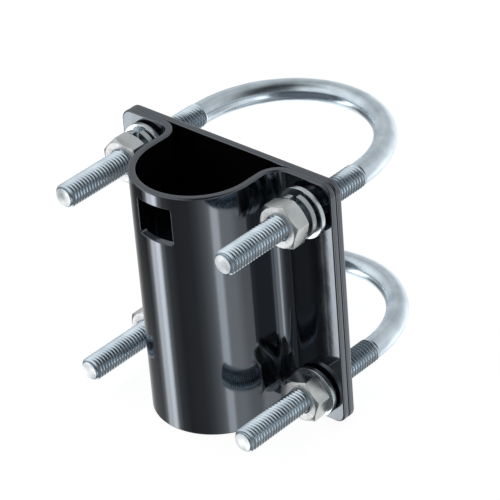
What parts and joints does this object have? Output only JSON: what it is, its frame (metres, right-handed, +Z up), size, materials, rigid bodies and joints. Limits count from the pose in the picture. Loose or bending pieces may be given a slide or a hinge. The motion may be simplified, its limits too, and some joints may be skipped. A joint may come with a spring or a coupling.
{
  "type": "pole clamp bracket",
  "caption": "Two-way pole clamp: a flat back plate and a hat-section pole socket held by threaded U-bolts with nuts and washers.",
  "frame": {"origin": "centre of the back plate's rear face, which bears on the post", "axes": "+Y out of the rear face towards the post, +Z up along the pole and the post, +X across the plate"},
  "size_m": [0.105, 0.1272, 0.106],
  "materials": {
    "black_paint": "gloss black paint on pressed steel",
    "zinc_rod": "bright blue zinc plating",
    "zinc_nut": "zinc plating, slightly duller than the rod",
    "zinc_washer": "zinc plating",
    "spring_steel": "zinc-plated spring steel"
  },
  "bodies": {
    "bracket": {"back_plate": "black_paint", "socket_channel": "black_paint"},
    "upper_u_bolt": {"upper_u_bolt": "zinc_rod"},
    "lower_u_bolt": {"lower_u_bolt": "zinc_rod"},
    "upper_left_washers": {"upper_left_flat_washer": "zinc_washer", "upper_left_spring_washer": "spring_steel"},
    "upper_right_washers": {"upper_right_flat_washer": "zinc_washer", "upper_right_spring_washer": "spring_steel"},
    "lower_left_washer": {"lower_left_flat_washer": "zinc_washer"},
    "lower_right_washer": {"lower_right_flat_washer": "zinc_washer"},
    "upper_left_nut": {"upper_left_hex_nut": "zinc_nut"},
    "upper_right_nut": {"upper_right_hex_nut": "zinc_nut"},
    "lower_left_nut": {"lower_left_hex_nut": "zinc_nut"},
    "lower_right_nut": {"lower_right_hex_nut": "zinc_nut"}
  },
  "joints": [
    {"name": "upper_u_bolt_slide", "type": "slide", "parent": "bracket", "child": "upper_u_bolt", "axis": [0, 1, 0], "range_m": [-0.0225, 0]},
    {"name": "lower_u_bolt_slide", "type": "slide", "parent": "bracket", "child": "lower_u_bolt", "axis": [0, 1, 0], "range_m": [-0.0261, 0]},
    {"name": "upper_left_nut_travel", "type": "slide", "parent": "upper_u_bolt", "child": "upper_left_washers", "axis": [0, 1, 0], "range_m": [-0.03121, 0.00001]},
    {"name": "upper_right_nut_travel", "type": "slide", "parent": "upper_u_bolt", "child": "upper_right_washers", "axis": [0, 1, 0], "range_m": [-0.02971, 0.00181]},
    {"name": "lower_left_nut_travel", "type": "slide", "parent": "lower_u_bolt", "child": "lower_left_washer", "axis": [0, 1, 0], "range_m": [-0.03241, 0.00001]},
    {"name": "lower_right_nut_travel", "type": "slide", "parent": "lower_u_bolt", "child": "lower_right_washer", "axis": [0, 1, 0], "range_m": [-0.03181, 0.00001]},
    {"name": "upper_left_nut_turn", "type": "hinge", "parent": "upper_left_washers", "child": "upper_left_nut", "pos_m": [-0.0391, -0.018, 0.0407], "axis": [0, 1, 0], "range_deg": [-7488, 0]},
    {"name": "upper_right_nut_turn", "type": "hinge", "parent": "upper_right_washers", "child": "upper_right_nut", "pos_m": [0.0409, -0.0195, 0.0407], "axis": [0, 1, 0], "range_deg": [-7128, 432]},
    {"name": "lower_left_nut_turn", "type": "hinge", "parent": "lower_left_washer", "child": "lower_left_nut", "pos_m": [-0.0405, -0.0125, -0.0407], "axis": [0, 1, 0], "range_deg": [-7776, 0]},
    {"name": "lower_right_nut_turn", "type": "hinge", "parent": "lower_right_washer", "child": "lower_right_nut", "pos_m": [0.0395, -0.0125, -0.0407], "axis": [0, 1, 0], "range_deg": [-7632, 0]}
  ],
  "couplings": [
    {"joint": "upper_left_nut_travel", "follows": "upper_left_nut_turn", "m_per_rad": 0.00023873},
    {"joint": "upper_right_nut_travel", "follows": "upper_right_nut_turn", "m_per_rad": 0.00023873},
    {"joint": "lower_left_nut_travel", "follows": "lower_left_nut_turn", "m_per_rad": 0.00023873},
    {"joint": "lower_right_nut_travel", "follows": "lower_right_nut_turn", "m_per_rad": 0.00023873}
  ]
}
